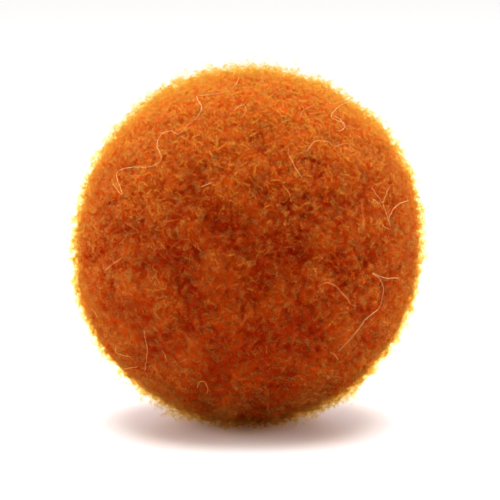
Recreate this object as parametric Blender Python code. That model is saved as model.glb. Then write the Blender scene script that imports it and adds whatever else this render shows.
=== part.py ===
"""A dense round pom pom: locks of cut yarn, one mass at their roots, that fan out to a lumpy ball.

Metres, +Z up. The origin is on the surface that the pom pom rests on, under its middle.
Azimuth 0 is the front, -Y, and azimuth 90 is the side +X.
"""

import math
import random

import bmesh
import bpy
from mathutils import Vector

# Driving dimensions
BALL_RADIUS = 0.00748  # from the ball's middle to the tips of its locks, between the lumps
MIDDLE_HEIGHT = 0.00732  # of the ball's middle above the surface, which leaves a small flat spot
LENGTH_SPREAD = 0.00010  # how far the trimming leaves a tip above or below the ball

# A lock, from its root to its tip
ROOT_SHARE = 0.66  # of a lock's reach: the locks are one mass up to here
SHOULDER_SHARE = 0.90  # of a lock's reach: a lock is fullest here
SHOULDER_FILL = 0.86  # of its place on the ball: how much of its width the shoulder fills
TIP_FILL = 0.44  # the same for the blunt tip
LEAN = 0.22  # of the way from the middle of its place to a corner: how far a tip leans

# The places that the locks grow from. They tile the ball, and have three or four corners.
PLACE_CORNERS = 266
CORNER_SHIFT = 0.26  # of the distance between corners: how uneven the places are
MERGE_ANGLE = math.radians(60)  # up to this, two triangles join to one place
GOLDEN_ANGLE = math.pi * (3 - math.sqrt(5))
SEED = 11

# Lumps and hollows of the ball: azimuth, elevation and width in degrees, height in metres
LUMPS = (
    {"name": "crown", "azimuth": 90, "elevation": 80, "width": 50, "height": 0.00040},
    {"name": "right_shoulder", "azimuth": 84, "elevation": 30, "width": 30, "height": 0.00028},
    {"name": "left_brow", "azimuth": -82, "elevation": 58, "width": 24, "height": 0.00012},
    {"name": "left_hollow", "azimuth": -88, "elevation": 8, "width": 20, "height": -0.00012},
    {"name": "left_hip", "azimuth": -84, "elevation": -30, "width": 18, "height": 0.00012},
    {"name": "right_hip", "azimuth": 82, "elevation": -46, "width": 16, "height": 0.00010},
    {"name": "underside", "azimuth": 0, "elevation": -90, "width": 36, "height": 0.00014},
    {"name": "front_bulge", "azimuth": -10, "elevation": -8, "width": 30, "height": 0.00012},
    {"name": "back_bulge", "azimuth": 188, "elevation": 14, "width": 34, "height": 0.00014},
)

YARN_ORANGE = (0.48, 0.13, 0.015, 1.0)
YARN_ROUGHNESS = 0.95


def direction(azimuth, elevation):
    """The unit vector at an azimuth and an elevation in degrees."""
    turn = math.radians(azimuth)
    rise = math.radians(elevation)
    return Vector((math.sin(turn) * math.cos(rise), -math.cos(turn) * math.cos(rise), math.sin(rise)))


def ball_reach(way):
    """How far the ball reaches from its middle in a direction."""
    reach = BALL_RADIUS
    for lump in LUMPS:
        apart = way.angle(direction(lump["azimuth"], lump["elevation"]))
        reach += lump["height"] * math.exp(-((apart / math.radians(lump["width"])) ** 2))
    return reach


def surface_reach(way):
    """How far the surface that the ball rests on is from the ball's middle in a direction."""
    if way.z >= 0:
        return math.inf
    return MIDDLE_HEIGHT / -way.z


def place_corners(chance):
    """Unit vectors in a spiral that covers the ball evenly, each shifted a little."""
    spacing = math.sqrt(4 * math.pi / PLACE_CORNERS)
    corners = []
    for index in range(PLACE_CORNERS):
        height = 1 - (2 * index + 1) / PLACE_CORNERS
        across = math.sqrt(1 - height * height)
        turn = index * GOLDEN_ANGLE
        corner = Vector((math.cos(turn) * across, math.sin(turn) * across, height))
        shift = Vector([chance.uniform(-1, 1) for _ in range(3)]) * spacing * CORNER_SHIFT
        corners.append((corner + shift).normalized())
    return corners


def tiled_ball(chance):
    """A ball of unit radius with one face for each lock. One face looks straight down."""
    mesh = bmesh.new()
    for corner in place_corners(chance):
        mesh.verts.new(corner)
    bmesh.ops.convex_hull(mesh, input=mesh.verts)
    bmesh.ops.join_triangles(
        mesh,
        faces=mesh.faces,
        angle_face_threshold=MERGE_ANGLE,
        angle_shape_threshold=MERGE_ANGLE,
    )
    bmesh.ops.recalc_face_normals(mesh, faces=mesh.faces)
    lowest = min(mesh.faces, key=lambda face: face.calc_center_median().z)
    turn = lowest.calc_center_median().rotation_difference(Vector((0, 0, -1)))
    bmesh.ops.rotate(mesh, verts=mesh.verts, cent=(0, 0, 0), matrix=turn.to_matrix())
    return mesh


def lock_place(face, chance):
    """Where one lock grows, how far it reaches, and whether it stands on the surface."""
    corners = [vertex.co.normalized() for vertex in face.verts]
    middle = sum(corners, Vector()).normalized()
    reach = ball_reach(middle) + chance.uniform(-1, 1) * LENGTH_SPREAD
    leans_to = chance.choice(corners)
    stands = surface_reach(middle) < ball_reach(middle)
    if stands:
        leans_to = middle
        reach = surface_reach(middle)
    return {"corners": corners, "middle": middle, "reach": reach, "leans_to": leans_to, "stands": stands}


def section(place, fill, lean):
    """The directions of the corners of a lock's section: its place, drawn in and leaning."""
    middle = place["middle"].lerp(place["leans_to"], lean)
    return [(middle + (corner - place["middle"]) * fill).normalized() for corner in place["corners"]]


def tip_corners(place):
    """The corners of a lock's tip, which lies level on the surface or else stays above it."""
    ways = section(place, TIP_FILL, LEAN)
    to_surface = [surface_reach(way) for way in ways]
    if place["stands"]:
        return [way * reach for way, reach in zip(ways, to_surface)]
    reach = min(place["reach"], *to_surface)
    return [way * reach for way in ways]


def shoulder_corners(place):
    """The corners of the section where a lock is fullest."""
    reach = place["reach"] * SHOULDER_SHARE
    return [way * reach for way in section(place, SHOULDER_FILL, 0)]


def extrude_each(mesh, faces, lock_number, places, corners_of):
    """Raises every face by itself to the corners of the next section of its lock."""
    ends = bmesh.ops.extrude_discrete_faces(mesh, faces=faces)["faces"]
    for face in ends:
        for vertex, corner in zip(face.verts, corners_of(places[face[lock_number]])):
            vertex.co = corner
    return ends


def grow_locks(mesh, chance):
    """Raises a lock on each face of the tiled ball, from its root to its shoulder and its tip."""
    places = [lock_place(face, chance) for face in mesh.faces]
    lock_number = mesh.faces.layers.int.new("lock_number")
    for number, face in enumerate(mesh.faces):
        face[lock_number] = number
    for vertex in mesh.verts:
        way = vertex.co.normalized()
        vertex.co = way * min(ball_reach(way), surface_reach(way)) * ROOT_SHARE
    shoulders = extrude_each(mesh, mesh.faces[:], lock_number, places, shoulder_corners)
    extrude_each(mesh, shoulders, lock_number, places, tip_corners)


def yarn_material():
    """Matt orange yarn."""
    material = bpy.data.materials.new("orange_yarn")
    material.use_nodes = True
    shader = material.node_tree.nodes["Principled BSDF"]
    shader.inputs["Base Color"].default_value = YARN_ORANGE
    shader.inputs["Roughness"].default_value = YARN_ROUGHNESS
    shader.inputs["Metallic"].default_value = 0.0
    return material


def make_pom_pom():
    """The whole ball of locks as one object, lifted to stand on the origin."""
    chance = random.Random(SEED)
    mesh = tiled_ball(chance)
    grow_locks(mesh, chance)
    bmesh.ops.translate(mesh, verts=mesh.verts, vec=(0, 0, MIDDLE_HEIGHT))
    data = bpy.data.meshes.new("pom_pom")
    mesh.to_mesh(data)
    mesh.free()
    data.materials.append(yarn_material())
    return bpy.data.objects.new("pom_pom", data)


def main():
    """Clears the scene and puts the pom pom in a collection of its own."""
    for old in list(bpy.data.objects):
        bpy.data.objects.remove(old, do_unlink=True)
    collection = bpy.data.collections.new("pom_pom")
    bpy.context.scene.collection.children.link(collection)
    collection.objects.link(make_pom_pom())


main()
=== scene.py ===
"""The looks of the pom pom: a ground of matted yarn, small loops, sheer haze, longer wisps and stray fibres.

Metres, +Z up. Azimuth 0 is the front, -Y, and azimuth 90 is the side +X. Seen from the front, +X is right.
"""

import math

import bmesh
import bpy
import numpy as np
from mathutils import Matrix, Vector, noise


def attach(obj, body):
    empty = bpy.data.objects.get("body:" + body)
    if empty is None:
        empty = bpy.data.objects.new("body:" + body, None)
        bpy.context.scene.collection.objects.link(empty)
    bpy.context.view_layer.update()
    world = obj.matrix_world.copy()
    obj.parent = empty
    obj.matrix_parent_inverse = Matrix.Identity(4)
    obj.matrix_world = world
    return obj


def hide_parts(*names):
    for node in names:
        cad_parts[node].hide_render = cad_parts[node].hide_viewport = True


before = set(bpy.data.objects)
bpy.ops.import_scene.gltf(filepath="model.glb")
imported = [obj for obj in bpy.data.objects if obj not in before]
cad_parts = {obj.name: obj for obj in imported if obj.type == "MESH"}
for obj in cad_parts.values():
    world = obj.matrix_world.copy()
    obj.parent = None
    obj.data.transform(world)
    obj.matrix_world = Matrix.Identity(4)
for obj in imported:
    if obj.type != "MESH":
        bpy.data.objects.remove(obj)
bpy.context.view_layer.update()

# The ball, with the sizes and lumps of the solid
BALL_RADIUS = 0.00748
MIDDLE_HEIGHT = 0.00732
LUMPS = (
    {"name": "crown", "azimuth": 90, "elevation": 80, "width": 50, "height": 0.00040},
    {"name": "right_shoulder", "azimuth": 84, "elevation": 30, "width": 30, "height": 0.00028},
    {"name": "left_brow", "azimuth": -82, "elevation": 58, "width": 24, "height": 0.00012},
    {"name": "left_hollow", "azimuth": -88, "elevation": 8, "width": 20, "height": -0.00012},
    {"name": "left_hip", "azimuth": -84, "elevation": -30, "width": 18, "height": 0.00012},
    {"name": "right_hip", "azimuth": 82, "elevation": -46, "width": 16, "height": 0.00010},
    {"name": "underside", "azimuth": 0, "elevation": -90, "width": 36, "height": 0.00014},
    {"name": "front_bulge", "azimuth": -10, "elevation": -8, "width": 30, "height": 0.00012},
    {"name": "back_bulge", "azimuth": 188, "elevation": 14, "width": 34, "height": 0.00014},
)
MIDDLE = np.array((0, 0, MIDDLE_HEIGHT))
X_AXIS = np.array((1.0, 0.0, 0.0))
Z_AXIS = np.array((0.0, 0.0, 1.0))
STEEP = 0.9  # of a unit vector's length along Z: from here on it counts as steep
GOLDEN_STEP = 3 - math.sqrt(5)  # half turns from one place of a spiral to the next
TINY = 1e-9  # keeps a division by zero away

# Clumps and curls of the pile
CLUMP_SIZE = 0.00125
CLUMP_HEIGHT = 0.00011
CURL_SIZE = 0.00055
CURL_HEIGHT = 0.00005
CURL_WARP = 0.9  # how much the ridges of the curls wind
RIDGE_STEEPNESS = 5
NOISE_GAIN = 1.6  # brings the noise to about -1 to 1
NOISE_SHIFTS = {"clumps": 3.1, "curls": 17.7, "wisps": 41.3, "strays": 5.3, "grain": 71.9}
NOISE_SEED = 1  # without a seed, noise_vector differs from run to run

# The shade of the yarn: 0 in the recesses, 1 at the tips. It is painted shade: the yarn is coloured darker
# and redder the deeper it lies in the pile
DARK_DEPTH = 0.00075  # the pile is darkest from this depth on
SHADE_SPREAD = 0.05  # how much one fibre differs from the next
# Painted light: the yarn is coloured lighter and more golden towards the top of the ball, as light from above
# would make it
TOP_PAINTED_LIGHT = 0.45  # how much lighter the yarn is at the top of the ball


# Places and directions


def direction(azimuth, elevation):
    """The unit vector at an azimuth and an elevation in degrees."""
    turn = math.radians(azimuth)
    rise = math.radians(elevation)
    return np.array((math.sin(turn) * math.cos(rise), -math.cos(turn) * math.cos(rise), math.sin(rise)))


def unit(vectors):
    """Vectors, one a row, at length 1."""
    return vectors / np.linalg.norm(vectors, axis=-1, keepdims=True)


def axis_across(ways):
    """An axis that each unit vector doesn't lie along: Z, or X for a steep one."""
    return np.where(np.abs(ways[..., 2:]) < STEEP, Z_AXIS, X_AXIS)


def tangents(ways):
    """Two unit vectors along the ball's surface for each direction."""
    first = unit(np.cross(axis_across(ways), ways))
    return first, np.cross(ways, first)


def spread(count, chance, unevenness=0.5):
    """Unit vectors in a spiral that covers the ball evenly, each shifted a little."""
    index = np.arange(count)
    height = 1 - (2 * index + 1) / count
    across = np.sqrt(1 - height**2)
    turn = index * math.pi * GOLDEN_STEP
    ways = np.stack((np.cos(turn) * across, np.sin(turn) * across, height), -1)
    step = math.sqrt(4 * math.pi / count)
    return unit(ways + chance.uniform(-1, 1, (count, 3)) * step * unevenness)


def ball_reach(ways):
    """How far the pile reaches from the ball's middle in each direction, no lower than the surface."""
    reach = np.full(ways.shape[:-1], BALL_RADIUS)
    for lump in LUMPS:
        cosine = ways @ direction(lump["azimuth"], lump["elevation"])
        apart = np.arccos(np.clip(cosine, -1, 1)) / math.radians(lump["width"])
        reach = reach + lump["height"] * np.exp(-(apart**2))
    down = np.maximum(-ways[..., 2], TINY)
    return np.minimum(reach, MIDDLE_HEIGHT / down)


def above_surface(points, clearance):
    """The points, with those that are lower than the clearance raised to it."""
    points[..., 2] = np.maximum(points[..., 2], clearance)
    return points


# The pile: how it is clumped, and its shade, which is painted shade and painted light


def soft_noise(ways, size, shift):
    """Smooth noise over the ball, about -1 to 1, with features of a size in metres."""
    places = ways * (BALL_RADIUS / size) + shift
    return np.array([noise.noise(place) for place in places.tolist()]) * NOISE_GAIN


def curl_noise(ways, size, shift):
    """Noise of winding ridges, about -1 in the hollows to 1 on the ridges."""
    places = ways * (BALL_RADIUS / size) + shift
    values = []
    for place in places.tolist():
        warp = noise.noise_vector(place)
        values.append(noise.noise(Vector(place) + warp * CURL_WARP))
    return 1 - RIDGE_STEEPNESS * np.abs(np.array(values))


def clump_depth(ways):
    """How much deeper the pile lies between its clumps and curls, in metres."""
    clumps = soft_noise(ways, CLUMP_SIZE, NOISE_SHIFTS["clumps"])
    curls = curl_noise(ways, CURL_SIZE, NOISE_SHIFTS["curls"])
    return -CLUMP_HEIGHT * clumps - CURL_HEIGHT * curls


def depth_shade(depth):
    """The shade of the pile at each depth: 1 at the tips of the ball, 0 in the deep. It is painted shade,
    darker the deeper it lies.
    """
    return 1 - depth / DARK_DEPTH


def top_painted_light(ways):
    """How much lighter the yarn is coloured in each direction as it points up: painted light from above."""
    return TOP_PAINTED_LIGHT * np.maximum(ways[:, 2], 0) ** 2


# Meshes of fibres, and pieces

FIBRE_SIDES = 3


def fibre_sections(points, radii):
    """Triangular rings round each inner point of every fibre: (fibres, rings, sides, 3)."""
    ahead = unit(points[:, 2:] - points[:, :-2])
    side = unit(np.cross(ahead, axis_across(ahead)))
    other = np.cross(ahead, side)
    corners = []
    for corner in range(FIBRE_SIDES):
        angle = corner * 2 * math.pi / FIBRE_SIDES
        arm = math.cos(angle) * side + math.sin(angle) * other
        corners.append(points[:, 1:-1] + arm * radii[..., None])
    return np.stack(corners, 2)


def fibre_faces(count, rings):
    """The corners of all faces of the fibres, and how many corners each face has."""
    root, tip, first_ring = 0, 1, 2
    last_ring = first_ring + FIBRE_SIDES * (rings - 1)
    pairs = [(corner, (corner + 1) % FIBRE_SIDES) for corner in range(FIBRE_SIDES)]
    faces = [(root, first_ring + following, first_ring + corner) for corner, following in pairs]
    for low in range(first_ring, last_ring, FIBRE_SIDES):
        high = low + FIBRE_SIDES
        for corner, following in pairs:
            faces.append((low + corner, low + following, high + following, high + corner))
    faces += [(last_ring + corner, last_ring + following, tip) for corner, following in pairs]
    loops = np.concatenate([np.array(face) for face in faces])
    sizes = np.array([len(face) for face in faces])
    starts = np.arange(count)[:, None] * (last_ring + FIBRE_SIDES)
    return (loops[None] + starts).ravel(), np.tile(sizes, count)


def set_shade(mesh, shade):
    """Stores a shade for each vertex of a mesh."""
    attribute = mesh.attributes.new("shade", "FLOAT", "POINT")
    attribute.data.foreach_set("value", shade.astype(np.float32).ravel())


def fibre_mesh(name, points, radii, shades):
    """A mesh of closed three-sided fibres, pointed at both ends. shades gives each path point's shade."""
    count, steps = points.shape[:2]
    rings = steps - 2
    sections = fibre_sections(points, radii[:, 1:-1])
    ends = np.stack((points[:, 0], points[:, -1]), 1)
    places = np.concatenate((ends, sections.reshape(count, rings * FIBRE_SIDES, 3)), 1)
    ring_shades = np.repeat(shades[:, 1:-1], FIBRE_SIDES, axis=1)
    loops, sizes = fibre_faces(count, rings)
    mesh = bpy.data.meshes.new(name)
    mesh.vertices.add(places.shape[0] * places.shape[1])
    mesh.vertices.foreach_set("co", places.astype(np.float32).ravel())
    mesh.loops.add(len(loops))
    mesh.loops.foreach_set("vertex_index", loops.astype(np.int32))
    mesh.polygons.add(len(sizes))
    mesh.polygons.foreach_set("loop_start", np.concatenate(([0], np.cumsum(sizes)[:-1])).astype(np.int32))
    mesh.update(calc_edges=True)
    set_shade(mesh, np.concatenate((shades[:, :1], shades[:, -1:], ring_shades), 1))
    return mesh


def add_piece(name, mesh, material):
    """Puts a mesh in the scene as a piece of the pom pom."""
    mesh.materials.append(material)
    piece = bpy.data.objects.new(name, mesh)
    bpy.context.scene.collection.objects.link(piece)
    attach(piece, "root")
    return piece


# The ground: the matted yarn under the loops

GROUND_SUBDIVISIONS = 7
GROUND_DEPTH = 0.00039  # how deep it lies in the pile on the whole
GROUND_COVER = 0.00003  # it stays at least this deep
GRAIN_SIZE = 0.00022
GRAIN_HEIGHT = 0.00002
GROUND_LIFT = 0.1  # how much lighter it is than its depth says
GROUND_PALEST = 0.8  # its lightest shade


def make_ground(material):
    """The matted yarn under the loops, as one lumpy body."""
    form = bmesh.new()
    bmesh.ops.create_icosphere(form, subdivisions=GROUND_SUBDIVISIONS, radius=1)
    mesh = bpy.data.meshes.new("ground")
    form.to_mesh(mesh)
    form.free()
    ways = np.empty(len(mesh.vertices) * 3, np.float32)
    mesh.vertices.foreach_get("co", ways)
    ways = unit(ways.reshape(-1, 3).astype(float))
    grain = soft_noise(ways, GRAIN_SIZE, NOISE_SHIFTS["grain"]) * GRAIN_HEIGHT
    depth = GROUND_DEPTH + clump_depth(ways) + grain
    places = MIDDLE + ways * (ball_reach(ways) - np.maximum(depth, GROUND_COVER))[:, None]
    mesh.vertices.foreach_set("co", places.astype(np.float32).ravel())
    mesh.update()
    mesh.shade_smooth()
    # painted shade, darker deeper in the pile, and painted light, lighter towards the top
    shade = GROUND_LIFT + depth_shade(depth) + top_painted_light(ways)
    set_shade(mesh, np.minimum(shade, GROUND_PALEST))
    piece = add_piece("ground", mesh, material)
    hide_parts("pom_pom")
    return piece


# Layers of small open loops, from the deepest to the top. Lengths and depths are in metres, turns in radians.
# The haze is sheer. The top haze is so sheer and wide that it shows mainly at the outline, which it softens.
# The lift is a fibre's own shade, and the slope is how much of the painted shade of its depth is added.

LAYERS = (
    {"name": "low_loops", "yarn": "curl", "seed": 3, "fibres": 16000, "points": 4,
     "radius": 0.00020, "turn": 3.0, "pitch": 0.00016, "thickness": 0.000036,
     "depth": 0.00043, "depth_spread": 0.00008, "lift": 0.15, "slope": 1.0},
    {"name": "top_loops", "yarn": "curl", "seed": 4, "fibres": 16000, "points": 4,
     "radius": 0.00018, "turn": 3.0, "pitch": 0.00020, "thickness": 0.000032,
     "depth": 0.00039, "depth_spread": 0.00010, "lift": 0.15, "slope": 1.0},
    {"name": "low_haze", "yarn": "haze", "seed": 5, "fibres": 32000, "points": 3,
     "radius": 0.00022, "turn": 1.8, "pitch": 0.00012, "thickness": 0.000054,
     "depth": 0.00032, "depth_spread": 0.00032, "lift": 0.40, "slope": 0.4},
    {"name": "top_haze", "yarn": "veil", "seed": 6, "fibres": 32000, "points": 3,
     "radius": 0.00022, "turn": 1.8, "pitch": 0.00012, "thickness": 0.000165,
     "depth": 0.00024, "depth_spread": 0.00046, "lift": 0.00, "slope": 1.0},
)
RADIUS_RANGE = (0.5, 1.5)  # of the layer's radius
TURN_RANGE = (0.6, 1.4)  # of the layer's turn
THICKNESS_RANGE = (0.65, 1.25)  # of the layer's thickness
PROFILE_PLACES = (0, 0.3, 0.7, 1)  # along a loop
PROFILE = (0.9, 1.0, 0.8, 0.3)  # of its thickness there


def loop_paths(ways, layer, chance):
    """The points of every small open loop of a layer, turned at random, and their depths in the pile."""
    count = len(ways)
    first = unit(chance.normal(0, 1, (count, 3)))
    second = unit(np.cross(first, chance.normal(0, 1, (count, 3))))
    third = np.cross(first, second)
    radius = layer["radius"] * chance.uniform(*RADIUS_RANGE, (count, 1, 1))
    pitch = layer["pitch"] * chance.normal(0, 1, (count, 1, 1))
    along = np.linspace(-0.5, 0.5, layer["points"])[None, :, None]
    angle = layer["turn"] * chance.uniform(*TURN_RANGE, (count, 1, 1)) * along
    circle = np.cos(angle) * first[:, None] + np.sin(angle) * second[:, None]
    offsets = radius * circle + pitch * along * third[:, None]
    middle_depth = layer["depth"] + layer["depth_spread"] * chance.triangular(-1, 0, 1, count)
    middle_depth = middle_depth + clump_depth(ways)
    reach = ball_reach(ways)
    points = (ways * (reach - middle_depth)[:, None])[:, None] + offsets
    depth = reach[:, None] - np.linalg.norm(points, axis=-1)
    return above_surface(MIDDLE + points, layer["thickness"]), depth


def make_layer(layer, material):
    """One layer of loops."""
    chance = np.random.default_rng(layer["seed"])
    ways = spread(layer["fibres"], chance)
    points, depth = loop_paths(ways, layer, chance)
    profile = np.interp(np.linspace(0, 1, layer["points"]), PROFILE_PLACES, PROFILE)
    radii = (layer["thickness"] * chance.uniform(*THICKNESS_RANGE, len(ways)))[:, None] * profile
    # painted shade: the fibres are coloured darker the deeper they lie
    shades = layer["lift"] + layer["slope"] * depth_shade(depth)
    shades = shades + chance.normal(0, SHADE_SPREAD, len(ways))[:, None]
    # painted light: lighter towards the top of the ball
    shades = shades + top_painted_light(ways)[:, None]
    return add_piece(layer["name"], fibre_mesh(layer["name"], points, radii, shades), material)


# Wisps: longer loose fibres that rise from a root in the pile to a tip at its top. Ranges are shares.

WISPS = {
    "seed": 21, "fibres": 620, "points": 8, "unevenness": 1.0,
    "length": 0.00120, "length_range": (0.55, 1.3),
    "thickness": 0.000012, "thickness_range": (0.7, 1.2),
    "root": 0.00022, "root_range": (0.85, 1.15), "tip": -0.00005, "tip_spread": 0.00006, "rise": 3.0,
    "heading_size": 0.00045, "disorder": 3.0, "curl": 1.5, "wave_share": 0.6, "centring": 0.5,
    "shade": 0.80, "shade_spread": 0.08,
}


def wisp_paths(ways, chance):
    """The points of every wisp: (wisps, points, 3)."""
    count = len(ways)
    steps = WISPS["points"]
    along = np.linspace(0, 1, steps)
    heading = soft_noise(ways, WISPS["heading_size"], NOISE_SHIFTS["wisps"]) * 2 * math.pi
    heading = heading + chance.normal(0, WISPS["disorder"], count)
    bend = chance.normal(0, WISPS["curl"], count)
    wave = chance.normal(0, WISPS["curl"] * WISPS["wave_share"], count)
    length = WISPS["length"] * chance.uniform(*WISPS["length_range"], count)
    turn = heading[:, None] + bend[:, None] * along + wave[:, None] * np.sin(along * 2 * math.pi)
    first, second = tangents(ways)
    sideways = np.cos(turn)[..., None] * first[:, None] + np.sin(turn)[..., None] * second[:, None]
    moves = sideways[:, :-1] * (length[:, None] / (steps - 1))[..., None]
    offsets = np.concatenate((np.zeros((count, 1, 3)), np.cumsum(moves, 1)), 1)
    offsets = offsets - offsets[:, steps // 2, None] * WISPS["centring"]
    root = WISPS["root"] * chance.uniform(*WISPS["root_range"], count)
    tip = WISPS["tip"] + WISPS["tip_spread"] * chance.uniform(-1, 1, count)
    depth = tip[:, None] + (root - tip)[:, None] * (1 - along) ** WISPS["rise"]
    depth = depth + clump_depth(ways)[:, None]
    point_ways = unit(ways[:, None] * BALL_RADIUS + offsets)
    points = MIDDLE + point_ways * (ball_reach(point_ways) - depth)[..., None]
    return above_surface(points, WISPS["thickness"])


def make_wisps(material):
    """Longer loose fibres, scattered over the whole ball, that curl over the pile."""
    chance = np.random.default_rng(WISPS["seed"])
    ways = spread(WISPS["fibres"], chance, WISPS["unevenness"])
    points = wisp_paths(ways, chance)
    each_point = np.ones(points.shape[:2])
    radii = each_point * WISPS["thickness"] * chance.uniform(*WISPS["thickness_range"], (len(ways), 1))
    shades = np.clip(chance.normal(WISPS["shade"], WISPS["shade_spread"], (len(ways), 1)), 0, 1) * each_point
    return add_piece("wisps", fibre_mesh("wisps", points, radii, shades), material)


# The camera, by the photograph's frame

FRAME_PIXELS = 500
PIXEL = 0.0000429  # size of one pixel at the ball's middle
MIDDLE_PIXEL = (246, 250)  # where the ball's middle is seen
CAMERA_DISTANCE = 0.15
CAMERA_ELEVATION = 9
SENSOR_WIDTH = 36
CLIP_START = 0.001


def camera_axes():
    """The camera's place and its right, up and forward directions."""
    forward = -direction(0, CAMERA_ELEVATION)
    right = X_AXIS
    up = np.cross(right, forward)
    half = FRAME_PIXELS / 2
    aim = MIDDLE + right * (half - MIDDLE_PIXEL[0]) * PIXEL - up * (half - MIDDLE_PIXEL[1]) * PIXEL
    return aim - forward * CAMERA_DISTANCE, right, up, forward


def add_camera():
    """A long lens at the photograph's height, with the ball's middle where the photograph has it."""
    camera = bpy.data.cameras.new("camera")
    camera.sensor_width = SENSOR_WIDTH
    frame_width = FRAME_PIXELS * PIXEL
    camera.lens = SENSOR_WIDTH * CAMERA_DISTANCE / frame_width
    camera.clip_start = CLIP_START
    holder = bpy.data.objects.new("camera", camera)
    bpy.context.scene.collection.objects.link(holder)
    eye, _, _, forward = camera_axes()
    holder.location = eye
    holder.rotation_euler = Vector(forward).to_track_quat("-Z", "Y").to_euler()
    bpy.context.scene.camera = holder


# Stray fibres that lie over the pile, by the pixels of the photograph that they pass through

STRAYS = (
    {"name": "long_curl", "tone": "pale", "thickness": 0.000014, "pixels": (
        (239, 76), (237, 82), (230, 90), (217, 94), (205, 95), (197, 96), (199, 102), (202, 107), (198, 116),
        (188, 125), (179, 134), (172, 131), (163, 133), (158, 140), (157, 147), (160, 153), (161, 160),
        (155, 165), (146, 167), (134, 167), (122, 169), (117, 173), (118, 181), (122, 194))},
    {"name": "left_fork", "tone": "orange", "thickness": 0.000012, "pixels": (
        (112, 182), (117, 190), (122, 195), (120, 186), (116, 178))},
    {"name": "crown_curl", "tone": "pale", "thickness": 0.000012, "pixels": (
        (234, 112), (238, 107), (243, 105), (246, 109), (244, 115), (240, 118))},
    {"name": "left_dash", "tone": "pale", "thickness": 0.000013, "pixels": (
        (200, 187), (206, 185), (212, 182))},
    {"name": "right_arc", "tone": "pale", "thickness": 0.000013, "pixels": (
        (400, 278), (392, 278), (385, 278), (377, 275), (372, 273), (380, 279), (383, 287), (383, 296),
        (379, 308), (373, 313), (366, 319), (360, 327), (352, 337), (345, 345), (337, 352))},
    {"name": "right_arc_end", "tone": "pale", "thickness": 0.000011, "pixels": (
        (330, 352), (335, 355), (338, 360))},
    {"name": "right_bow", "tone": "orange", "thickness": 0.000012, "pixels": (
        (317, 288), (322, 284), (329, 283), (336, 286), (341, 292), (347, 298), (351, 305))},
    {"name": "antler_stem", "tone": "pale", "thickness": 0.000013, "pixels": (
        (371, 186), (375, 193), (380, 199), (384, 207), (388, 218), (391, 228))},
    {"name": "antler_left", "tone": "pale", "thickness": 0.000011, "pixels": (
        (373, 199), (378, 203), (383, 208))},
    {"name": "antler_top", "tone": "pale", "thickness": 0.000011, "pixels": (
        (390, 186), (387, 192), (384, 199), (383, 206))},
    {"name": "antler_right", "tone": "pale", "thickness": 0.000013, "pixels": (
        (410, 200), (401, 203), (394, 208), (390, 215), (387, 222))},
    {"name": "antler_twin", "tone": "pale", "thickness": 0.000012, "pixels": (
        (379, 218), (382, 224), (386, 228), (390, 229))},
    {"name": "shoulder_arc", "tone": "pale", "thickness": 0.000013, "pixels": (
        (357, 101), (349, 102), (341, 105), (335, 110), (331, 117), (336, 120), (342, 123), (345, 128))},
    {"name": "shoulder_knot", "tone": "pale", "thickness": 0.000012, "pixels": (
        (334, 116), (340, 119), (345, 125), (342, 130), (336, 131))},
    {"name": "brow_wisp", "tone": "pale", "thickness": 0.000011, "pixels": (
        (316, 105), (309, 107), (303, 111), (299, 117))},
    {"name": "right_wisp", "tone": "pale", "thickness": 0.000012, "pixels": (
        (306, 153), (311, 145), (316, 141), (324, 141), (329, 142), (333, 147))},
    {"name": "right_wisp_twin", "tone": "orange", "thickness": 0.000011, "pixels": (
        (334, 148), (340, 145), (348, 144), (355, 151))},
    {"name": "middle_line", "tone": "pale", "thickness": 0.000012, "pixels": (
        (288, 147), (289, 155), (293, 163), (298, 172), (303, 179))},
    {"name": "middle_line_low", "tone": "orange", "thickness": 0.000012, "pixels": (
        (282, 185), (287, 190), (291, 197), (291, 203))},
    {"name": "right_speck_line", "tone": "orange", "thickness": 0.000011, "pixels": (
        (362, 203), (362, 212), (364, 222), (362, 233))},
    {"name": "left_low_line", "tone": "pale", "thickness": 0.000013, "pixels": (
        (144, 329), (145, 338), (147, 347), (147, 355), (146, 364), (145, 372))},
    {"name": "left_low_dash", "tone": "orange", "thickness": 0.000012, "pixels": (
        (162, 350), (165, 356), (167, 362))},
    {"name": "left_low_bow", "tone": "orange", "thickness": 0.000012, "pixels": (
        (115, 346), (116, 352), (122, 355), (132, 357))},
    {"name": "left_low_rim", "tone": "orange", "thickness": 0.000012, "pixels": (
        (122, 370), (130, 368), (139, 367))},
    {"name": "left_line", "tone": "orange", "thickness": 0.000012, "pixels": (
        (122, 258), (116, 262), (109, 267), (105, 271))},
    {"name": "left_line_low", "tone": "orange", "thickness": 0.000012, "pixels": (
        (91, 308), (95, 313), (98, 318))},
    {"name": "low_loop", "tone": "orange", "thickness": 0.000011, "pixels": (
        (197, 389), (198, 384), (202, 381), (206, 384), (208, 390), (207, 395))},
    {"name": "dark_fibre", "tone": "dark", "thickness": 0.000013, "pixels": (
        (164, 366), (170, 365), (177, 366), (183, 369), (188, 372))},
)
STRAY_SEED = 31
STRAY_FINENESS = 0.65  # of its thickness in the table: how thick a stray fibre is made
STRAY_LIFT = 0.00014  # how far a stray fibre dips into the pile and rises out of it
STRAY_DIPS = 3  # about how many dips it has
STRAY_SINK = 0.00010  # how far its ends are sunk in the pile
STRAY_SINK_POWER = 6  # the higher, the nearer to its ends it starts to sink
STRAY_JITTER = 0.22  # of a pixel
STRAY_STEPS = 4  # points along a stray fibre for each of its pixels
STRAY_COLOURS = {"pale": (0.84, 0.54, 0.23), "orange": (0.86, 0.44, 0.12), "dark": (0.05, 0.012, 0.006)}
AIM_ROUNDS = 6  # to find where a line of sight meets the lumpy ball


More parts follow.
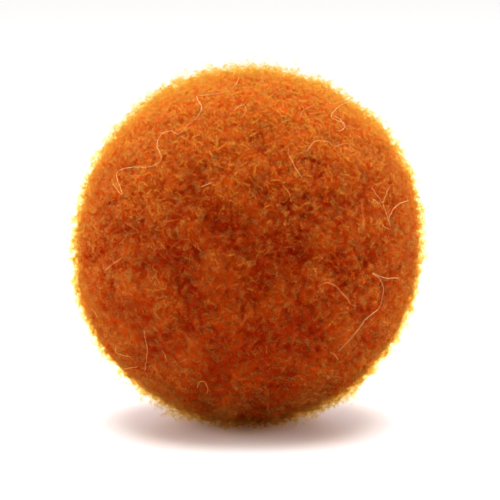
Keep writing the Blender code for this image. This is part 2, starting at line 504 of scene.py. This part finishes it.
def on_ball(pixels, lift):
    """The places on the ball, lifted, that are seen at pixels of the photograph, one pixel a row."""
    eye, right, up, forward = camera_axes()
    half = FRAME_PIXELS / 2
    x = (pixels[:, :1] - half) * PIXEL
    y = (half - pixels[:, 1:]) * PIXEL
    ways = unit(forward * CAMERA_DISTANCE + right * x + up * y)
    nearest = (MIDDLE - eye) @ ways.T
    closest = eye + ways * nearest[:, None]
    reach = np.full(len(pixels), BALL_RADIUS)
    for _ in range(AIM_ROUNDS):
        apart = np.linalg.norm(closest - MIDDLE, axis=1)
        back = np.sqrt(np.maximum(reach**2 - apart**2, 0))
        places = closest - ways * back[:, None]
        reach = ball_reach(unit(places - MIDDLE)) + lift
    return places


def smooth_curve(points, steps):
    """A smooth curve through the points, with steps points for each of them."""
    before = np.concatenate((2 * points[:1] - points[1:2], points, 2 * points[-1:] - points[-2:-1]))
    curve = []
    for start in range(len(points) - 1):
        a, b, c, d = before[start : start + 4]
        for step in range(steps):
            t = step / steps
            curve.append(0.5 * (2 * b + (c - a) * t + (2 * a - 5 * b + 4 * c - d) * t**2
                                + (3 * b - a - 3 * c + d) * t**3))
    curve.append(points[-1])
    return np.array(curve)


def stray_mesh(row, chance):
    """The mesh of one stray fibre, laid over the ball. Its ends are sunk in the pile."""
    pixels = smooth_curve(np.array(row["pixels"], float), STRAY_STEPS)
    pixels = pixels + chance.normal(0, STRAY_JITTER, pixels.shape)
    count = len(pixels)
    along = np.linspace(0, 1, count)
    dip_places = np.stack((along * STRAY_DIPS, np.full(count, float(count)), np.zeros(count)), -1)
    dips = soft_noise(dip_places, BALL_RADIUS, NOISE_SHIFTS["strays"])
    lift = STRAY_LIFT * dips - STRAY_SINK * (2 * along - 1) ** STRAY_SINK_POWER
    radii = np.full((1, count), row["thickness"] * STRAY_FINENESS)
    return fibre_mesh(row["name"], on_ball(pixels, lift)[None], radii, np.ones((1, count)))


def make_strays(materials):
    """The stray fibres that the photograph shows, joined to one piece for each tone."""
    chance = np.random.default_rng(STRAY_SEED)
    for tone, material in materials.items():
        form = bmesh.new()
        for row in STRAYS:
            if row["tone"] != tone:
                continue
            one = stray_mesh(row, chance)
            form.from_mesh(one)
            bpy.data.meshes.remove(one)
        mesh = bpy.data.meshes.new(tone + "_strays")
        form.to_mesh(mesh)
        form.free()
        add_piece(tone + "_strays", mesh, material)


# Materials. Colours go along the shade, from the recesses to the tips: of the yarn, and of the light
# that comes through it. The shade holds painted shade and painted light, so the ramps paint the recesses dark
# and the tips and top light.

# The ground's colours are darker and redder than the pile's: painted shade between the loops
GROUND_COLOURS = {
    "yarn": (
        {"at": 0.00, "colour": (0.16, 0.003, 0.0004)},
        {"at": 0.50, "colour": (0.27, 0.010, 0.001)},
        {"at": 1.00, "colour": (0.52, 0.080, 0.006)},
    ),
    "glow": (
        {"at": 0.00, "colour": (0.50, 0.030, 0.002)},
        {"at": 1.00, "colour": (0.70, 0.160, 0.010)},
    ),
}
PILE_COLOURS = {
    "yarn": (
        {"at": 0.00, "colour": (0.40, 0.012, 0.001)},
        {"at": 0.40, "colour": (0.50, 0.024, 0.002)},
        {"at": 0.70, "colour": (0.60, 0.056, 0.004)},
        {"at": 0.90, "colour": (0.68, 0.170, 0.015)},
        {"at": 1.00, "colour": (0.72, 0.360, 0.045)},
    ),
    "glow": (
        {"at": 0.00, "colour": (0.58, 0.040, 0.003)},
        {"at": 0.40, "colour": (0.68, 0.075, 0.004)},
        {"at": 0.70, "colour": (0.76, 0.150, 0.010)},
        {"at": 0.90, "colour": (0.78, 0.420, 0.070)},
        {"at": 1.00, "colour": (0.78, 0.520, 0.150)},
    ),
}
VEIL_COLOURS = {
    "yarn": (
        {"at": 0.00, "colour": (0.70, 0.085, 0.006)},
        {"at": 1.00, "colour": (0.76, 0.190, 0.020)},
    ),
    "glow": (
        {"at": 0.00, "colour": (0.74, 0.300, 0.045)},
        {"at": 1.00, "colour": (0.80, 0.600, 0.190)},
    ),
}
# Translucency is the share of light that goes on through a fibre, and sheerness is how much is seen past it.
YARNS = {
    "ground": {"colours": GROUND_COLOURS, "mottle": 0.3, "translucency": 0.15},
    "curl": {"colours": PILE_COLOURS, "mottle": 0.1, "translucency": 0.70,
             "sheerness": 0.70, "clear_tint": (0.99, 0.94, 0.76)},
    "haze": {"colours": PILE_COLOURS, "mottle": 0.1, "translucency": 0.25,
             "sheerness": 0.90, "clear_tint": (0.99, 0.95, 0.80)},
    "veil": {"colours": VEIL_COLOURS, "mottle": 0.1, "translucency": 0.65,
             "sheerness": 0.96, "clear_tint": (0.99, 0.97, 0.90)},
}
YARN_ROUGHNESS = 0.62
YARN_GLOSS = 0.0  # quite matt
MOTTLE_SCALE = 900  # patches for each metre
MOTTLE_DETAIL = 3
STRAY_ROUGHNESS = 0.5
STRAY_PATCH_SCALE = 2500  # patches for each metre
STRAY_PATCH_DETAIL = 2
STRAY_DARKEST = 0.75  # of its colour, where a stray fibre is darkest
STRAY_PATCHES = (0.3, 0.7)  # the noise where a stray fibre is darkest and palest


def colour_ramp(nodes, stops):
    """A ramp node with the stops of a table."""
    ramp = nodes.new("ShaderNodeValToRGB")
    elements = ramp.color_ramp.elements
    elements[0].position = stops[0]["at"]
    elements[0].color = (*stops[0]["colour"], 1)
    elements[1].position = stops[-1]["at"]
    elements[1].color = (*stops[-1]["colour"], 1)
    for stop in stops[1:-1]:
        element = elements.new(stop["at"])
        element.color = (*stop["colour"], 1)
    return ramp


def patch_noise(nodes, links, scale, detail):
    """The output of a noise node that is fixed to the piece."""
    place = nodes.new("ShaderNodeTexCoord")
    patches = nodes.new("ShaderNodeTexNoise")
    patches.inputs["Scale"].default_value = scale
    patches.inputs["Detail"].default_value = detail
    links.new(place.outputs["Object"], patches.inputs["Vector"])
    return patches.outputs["Fac"]


def mottled_shade(nodes, links, mottle):
    """The output of the nodes that add patches, darker and lighter by half the mottle, to a fibre's shade."""
    shade = nodes.new("ShaderNodeAttribute")
    shade.attribute_name = "shade"
    amount = nodes.new("ShaderNodeMath")
    amount.operation = "MULTIPLY_ADD"
    amount.inputs[1].default_value = mottle
    amount.inputs[2].default_value = -mottle / 2
    links.new(patch_noise(nodes, links, MOTTLE_SCALE, MOTTLE_DETAIL), amount.inputs[0])
    total = nodes.new("ShaderNodeMath")
    total.operation = "ADD"
    total.use_clamp = True
    links.new(shade.outputs["Fac"], total.inputs[0])
    links.new(amount.outputs[0], total.inputs[1])
    return total.outputs[0]


def mix_shaders(nodes, links, first, second, share):
    """The output of a mix of two shaders, with a share of the second."""
    mix = nodes.new("ShaderNodeMixShader")
    mix.inputs["Fac"].default_value = share
    links.new(first, mix.inputs[1])
    links.new(second, mix.inputs[2])
    return mix.outputs["Shader"]


def yarn_material(name):
    """Fuzzy yarn, coloured by the shade of its fibres, which is painted shade and painted light, with
    mottling that is as wide as a clump.
    """
    yarn = YARNS[name]
    material = bpy.data.materials.new(name + "_yarn")
    material.use_nodes = True
    nodes = material.node_tree.nodes
    links = material.node_tree.links
    shader = nodes["Principled BSDF"]
    shader.inputs["Roughness"].default_value = YARN_ROUGHNESS
    shader.inputs["Specular IOR Level"].default_value = YARN_GLOSS
    through = nodes.new("ShaderNodeBsdfTranslucent")
    shade = mottled_shade(nodes, links, yarn["mottle"])
    for colours, socket in (("yarn", shader.inputs["Base Color"]), ("glow", through.inputs["Color"])):
        ramp = colour_ramp(nodes, yarn["colours"][colours])
        links.new(shade, ramp.inputs["Fac"])
        links.new(ramp.outputs["Color"], socket)
    surface = mix_shaders(nodes, links, shader.outputs["BSDF"], through.outputs["BSDF"], yarn["translucency"])
    if "sheerness" in yarn:
        clear = nodes.new("ShaderNodeBsdfTransparent")
        clear.inputs["Color"].default_value = (*yarn["clear_tint"], 1)
        surface = mix_shaders(nodes, links, surface, clear.outputs["BSDF"], yarn["sheerness"])
    links.new(surface, nodes["Material Output"].inputs["Surface"])
    return material


def stray_material(tone):
    """A loose fibre of another colour, a little uneven along its length."""
    material = bpy.data.materials.new(tone + "_fibre")
    material.use_nodes = True
    nodes = material.node_tree.nodes
    links = material.node_tree.links
    shader = nodes["Principled BSDF"]
    colour = STRAY_COLOURS[tone]
    darkest, palest = STRAY_PATCHES
    ramp = colour_ramp(nodes, (
        {"at": darkest, "colour": tuple(channel * STRAY_DARKEST for channel in colour)},
        {"at": palest, "colour": colour},
    ))
    links.new(patch_noise(nodes, links, STRAY_PATCH_SCALE, STRAY_PATCH_DETAIL), ramp.inputs["Fac"])
    links.new(ramp.outputs["Color"], shader.inputs["Base Color"])
    shader.inputs["Roughness"].default_value = STRAY_ROUGHNESS
    return material


# The stage: lights, sky and floor

LIGHTS = (
    {"name": "top_box", "azimuth": 180, "elevation": 84, "distance": 0.10, "size": 0.12, "power": 0.258},
    {"name": "left_box", "azimuth": -102, "elevation": 6, "distance": 0.10, "size": 0.08, "power": 0.120},
    {"name": "right_box", "azimuth": 102, "elevation": 6, "distance": 0.10, "size": 0.08, "power": 0.092},
)
SKY_FRONT = 0.045  # strength of the light from the dark room in front of the ball
SKY_BACK = 1.25  # strength of the light from the white sweep behind and above it
SKY_BEHIND_SHARE = 0.8  # how much a direction's part towards the back counts, against its part upwards
SKY_DARK_END = -0.2
SKY_LIGHT_END = 1.2
SKY_SEEN = 1.1  # strength of the sky where the camera sees it
FLOOR_HALF_WIDTH = 2
FLOOR_COLOUR = (0.94, 0.94, 0.94, 1)
FLOOR_ROUGHNESS = 0.4
FLOOR_GLOSS = 0.5
# Painted light: the floor glows faintly warm, standing in for light that comes through the ball into its
# shadow
FLOOR_GLOW = 0.05  # light of the floor's own, which shows only in the shadow
FLOOR_GLOW_COLOUR = (1.0, 0.45, 0.30, 1)  # warm, like light that comes through the ball


def add_lights():
    """Soft boxes above the ball and at both its sides."""
    for row in LIGHTS:
        light = bpy.data.lights.new(row["name"], "AREA")
        light.shape = "DISK"
        light.size = row["size"]
        light.energy = row["power"]
        holder = bpy.data.objects.new(row["name"], light)
        bpy.context.scene.collection.objects.link(holder)
        way = direction(row["azimuth"], row["elevation"])
        holder.location = MIDDLE + way * row["distance"]
        holder.rotation_euler = Vector(-way).to_track_quat("-Z", "Y").to_euler()


def sky_strength(nodes, links):
    """The output of the nodes that make the sky bright behind and above the ball, and dark in front."""
    place = nodes.new("ShaderNodeTexCoord")
    split = nodes.new("ShaderNodeSeparateXYZ")
    links.new(place.outputs["Generated"], split.inputs["Vector"])
    behind = nodes.new("ShaderNodeMath")
    behind.operation = "MULTIPLY"
    behind.inputs[1].default_value = SKY_BEHIND_SHARE
    links.new(split.outputs["Y"], behind.inputs[0])
    height = nodes.new("ShaderNodeMath")
    height.operation = "ADD"
    links.new(split.outputs["Z"], height.inputs[0])
    links.new(behind.outputs[0], height.inputs[1])
    blend = nodes.new("ShaderNodeMapRange")
    blend.interpolation_type = "SMOOTHSTEP"
    blend.inputs["From Min"].default_value = SKY_DARK_END
    blend.inputs["From Max"].default_value = SKY_LIGHT_END
    blend.inputs["To Min"].default_value = SKY_FRONT
    blend.inputs["To Max"].default_value = SKY_BACK
    links.new(height.outputs[0], blend.inputs["Value"])
    return blend.outputs["Result"]


def add_world():
    """White to the eye. It gives more light from behind and above than from the front."""
    world = bpy.data.worlds.new("studio")
    bpy.context.scene.world = world
    world.use_nodes = True
    nodes = world.node_tree.nodes
    links = world.node_tree.links
    lit = nodes["Background"]
    links.new(sky_strength(nodes, links), lit.inputs["Strength"])
    seen = nodes.new("ShaderNodeBackground")
    seen.inputs["Strength"].default_value = SKY_SEEN
    for background in (lit, seen):
        background.inputs["Color"].default_value = (1, 1, 1, 1)
    ray = nodes.new("ShaderNodeLightPath")
    mix = nodes.new("ShaderNodeMixShader")
    links.new(ray.outputs["Is Camera Ray"], mix.inputs["Fac"])
    links.new(lit.outputs["Background"], mix.inputs[1])
    links.new(seen.outputs["Background"], mix.inputs[2])
    links.new(mix.outputs["Shader"], nodes["World Output"].inputs["Surface"])


def add_floor():
    """A white floor, which glows faintly warm: painted light in the shadow under the ball."""
    form = bmesh.new()
    bmesh.ops.create_grid(form, x_segments=1, y_segments=1, size=FLOOR_HALF_WIDTH)
    mesh = bpy.data.meshes.new("floor")
    form.to_mesh(mesh)
    form.free()
    material = bpy.data.materials.new("white_floor")
    material.use_nodes = True
    shader = material.node_tree.nodes["Principled BSDF"]
    shader.inputs["Base Color"].default_value = FLOOR_COLOUR
    shader.inputs["Roughness"].default_value = FLOOR_ROUGHNESS
    shader.inputs["Specular IOR Level"].default_value = FLOOR_GLOSS
    shader.inputs["Emission Color"].default_value = FLOOR_GLOW_COLOUR
    shader.inputs["Emission Strength"].default_value = FLOOR_GLOW
    mesh.materials.append(material)
    floor = bpy.data.objects.new("floor", mesh)
    bpy.context.scene.collection.objects.link(floor)


# The whole scene

TRANSPARENT_BOUNCES = 32  # the sheer fibres lie many deep


def main():
    """Builds the scene."""
    noise.seed_set(NOISE_SEED)
    bpy.context.scene.view_settings.view_transform = "Standard"
    bpy.context.scene.cycles.transparent_max_bounces = TRANSPARENT_BOUNCES
    add_camera()
    add_world()
    add_lights()
    add_floor()
    yarns = {name: yarn_material(name) for name in YARNS}
    make_ground(yarns["ground"])
    for layer in LAYERS:
        make_layer(layer, yarns[layer["yarn"]])
    make_wisps(yarns["haze"])
    make_strays({tone: stray_material(tone) for tone in STRAY_COLOURS})


main()
